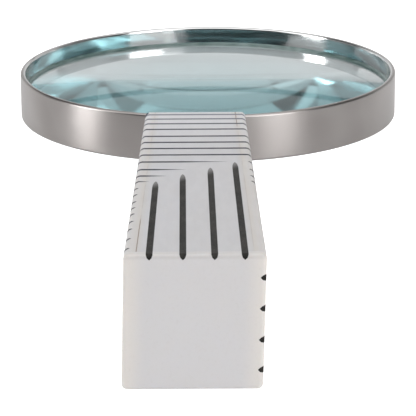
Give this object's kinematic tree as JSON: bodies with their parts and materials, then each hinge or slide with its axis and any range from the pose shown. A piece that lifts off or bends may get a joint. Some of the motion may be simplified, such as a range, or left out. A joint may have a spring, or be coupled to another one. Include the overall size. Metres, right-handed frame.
{
  "type": "hand magnifier",
  "caption": "Hand magnifier: a large biconvex lens in a plain steel band, on a tapered square bone-faced handle inlaid with black lines.",
  "frame": {"origin": "centre of the lens, midway between its two faces on the optical axis", "axes": "+Z along the optical axis, square to the plane of the band; the handle runs towards -Y and its butt faces -Y; +X is to the right for someone who looks along the handle from the butt"},
  "size_m": [0.104, 0.245, 0.0294],
  "materials": {
    "band_steel": "satin brushed stainless steel",
    "seat_steel": "plain turned steel",
    "lens_glass": "clear polished glass with a slight blue-green cast",
    "gasket": "translucent soft vinyl",
    "clear_adhesive": "clear cured adhesive",
    "tang_steel": "plain steel",
    "insert_brass": "machined brass",
    "core_wood": "oiled hardwood",
    "bone": "polished cream-white bone",
    "black_inlay": "black filler rubbed flush"
  },
  "bodies": {
    "root": {"rim_band": "band_steel", "seat_ring": "seat_steel", "lens": "lens_glass", "lens_gasket": "gasket", "lens_bead": "clear_adhesive", "tang_saddle": "tang_steel", "tang_stud": "tang_steel", "tang_insert": "insert_brass", "handle_core": "core_wood", "top_slab": "bone", "bottom_slab": "bone", "left_slab": "bone", "right_slab": "bone", "end_cap": "bone", "top_long_inlays": "black_inlay", "top_cross_inlays": "black_inlay", "bottom_cross_inlays": "black_inlay", "left_cross_inlays": "black_inlay", "right_cross_inlays": "black_inlay", "right_long_inlays": "black_inlay"}
  },
  "joints": []
}
